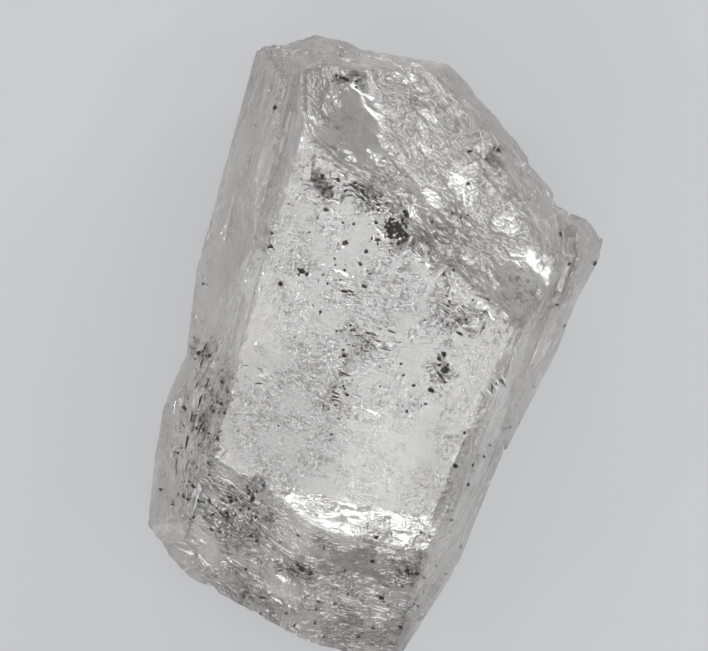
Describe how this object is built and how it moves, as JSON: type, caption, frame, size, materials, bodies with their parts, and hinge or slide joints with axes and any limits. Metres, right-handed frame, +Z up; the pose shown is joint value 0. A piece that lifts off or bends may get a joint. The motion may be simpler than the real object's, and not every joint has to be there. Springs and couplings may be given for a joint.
{
  "type": "rough diamond",
  "caption": "Uncut transparent diamond crystal, a blocky elongated shape with etched faces and one broken corner, lying on its flattest face.",
  "frame": {"origin": "under the middle of the crystal's box, on the flat face it rests on", "axes": "+Y along the crystal's length towards the broken end, +Z up through its thickness, away from the face it rests on"},
  "size_m": [0.0052, 0.0078, 0.0041],
  "materials": {
    "diamond": "transparent, near colourless grey, etched and frosted surface"
  },
  "bodies": {
    "root": {"rough_diamond": "diamond"}
  },
  "joints": []
}
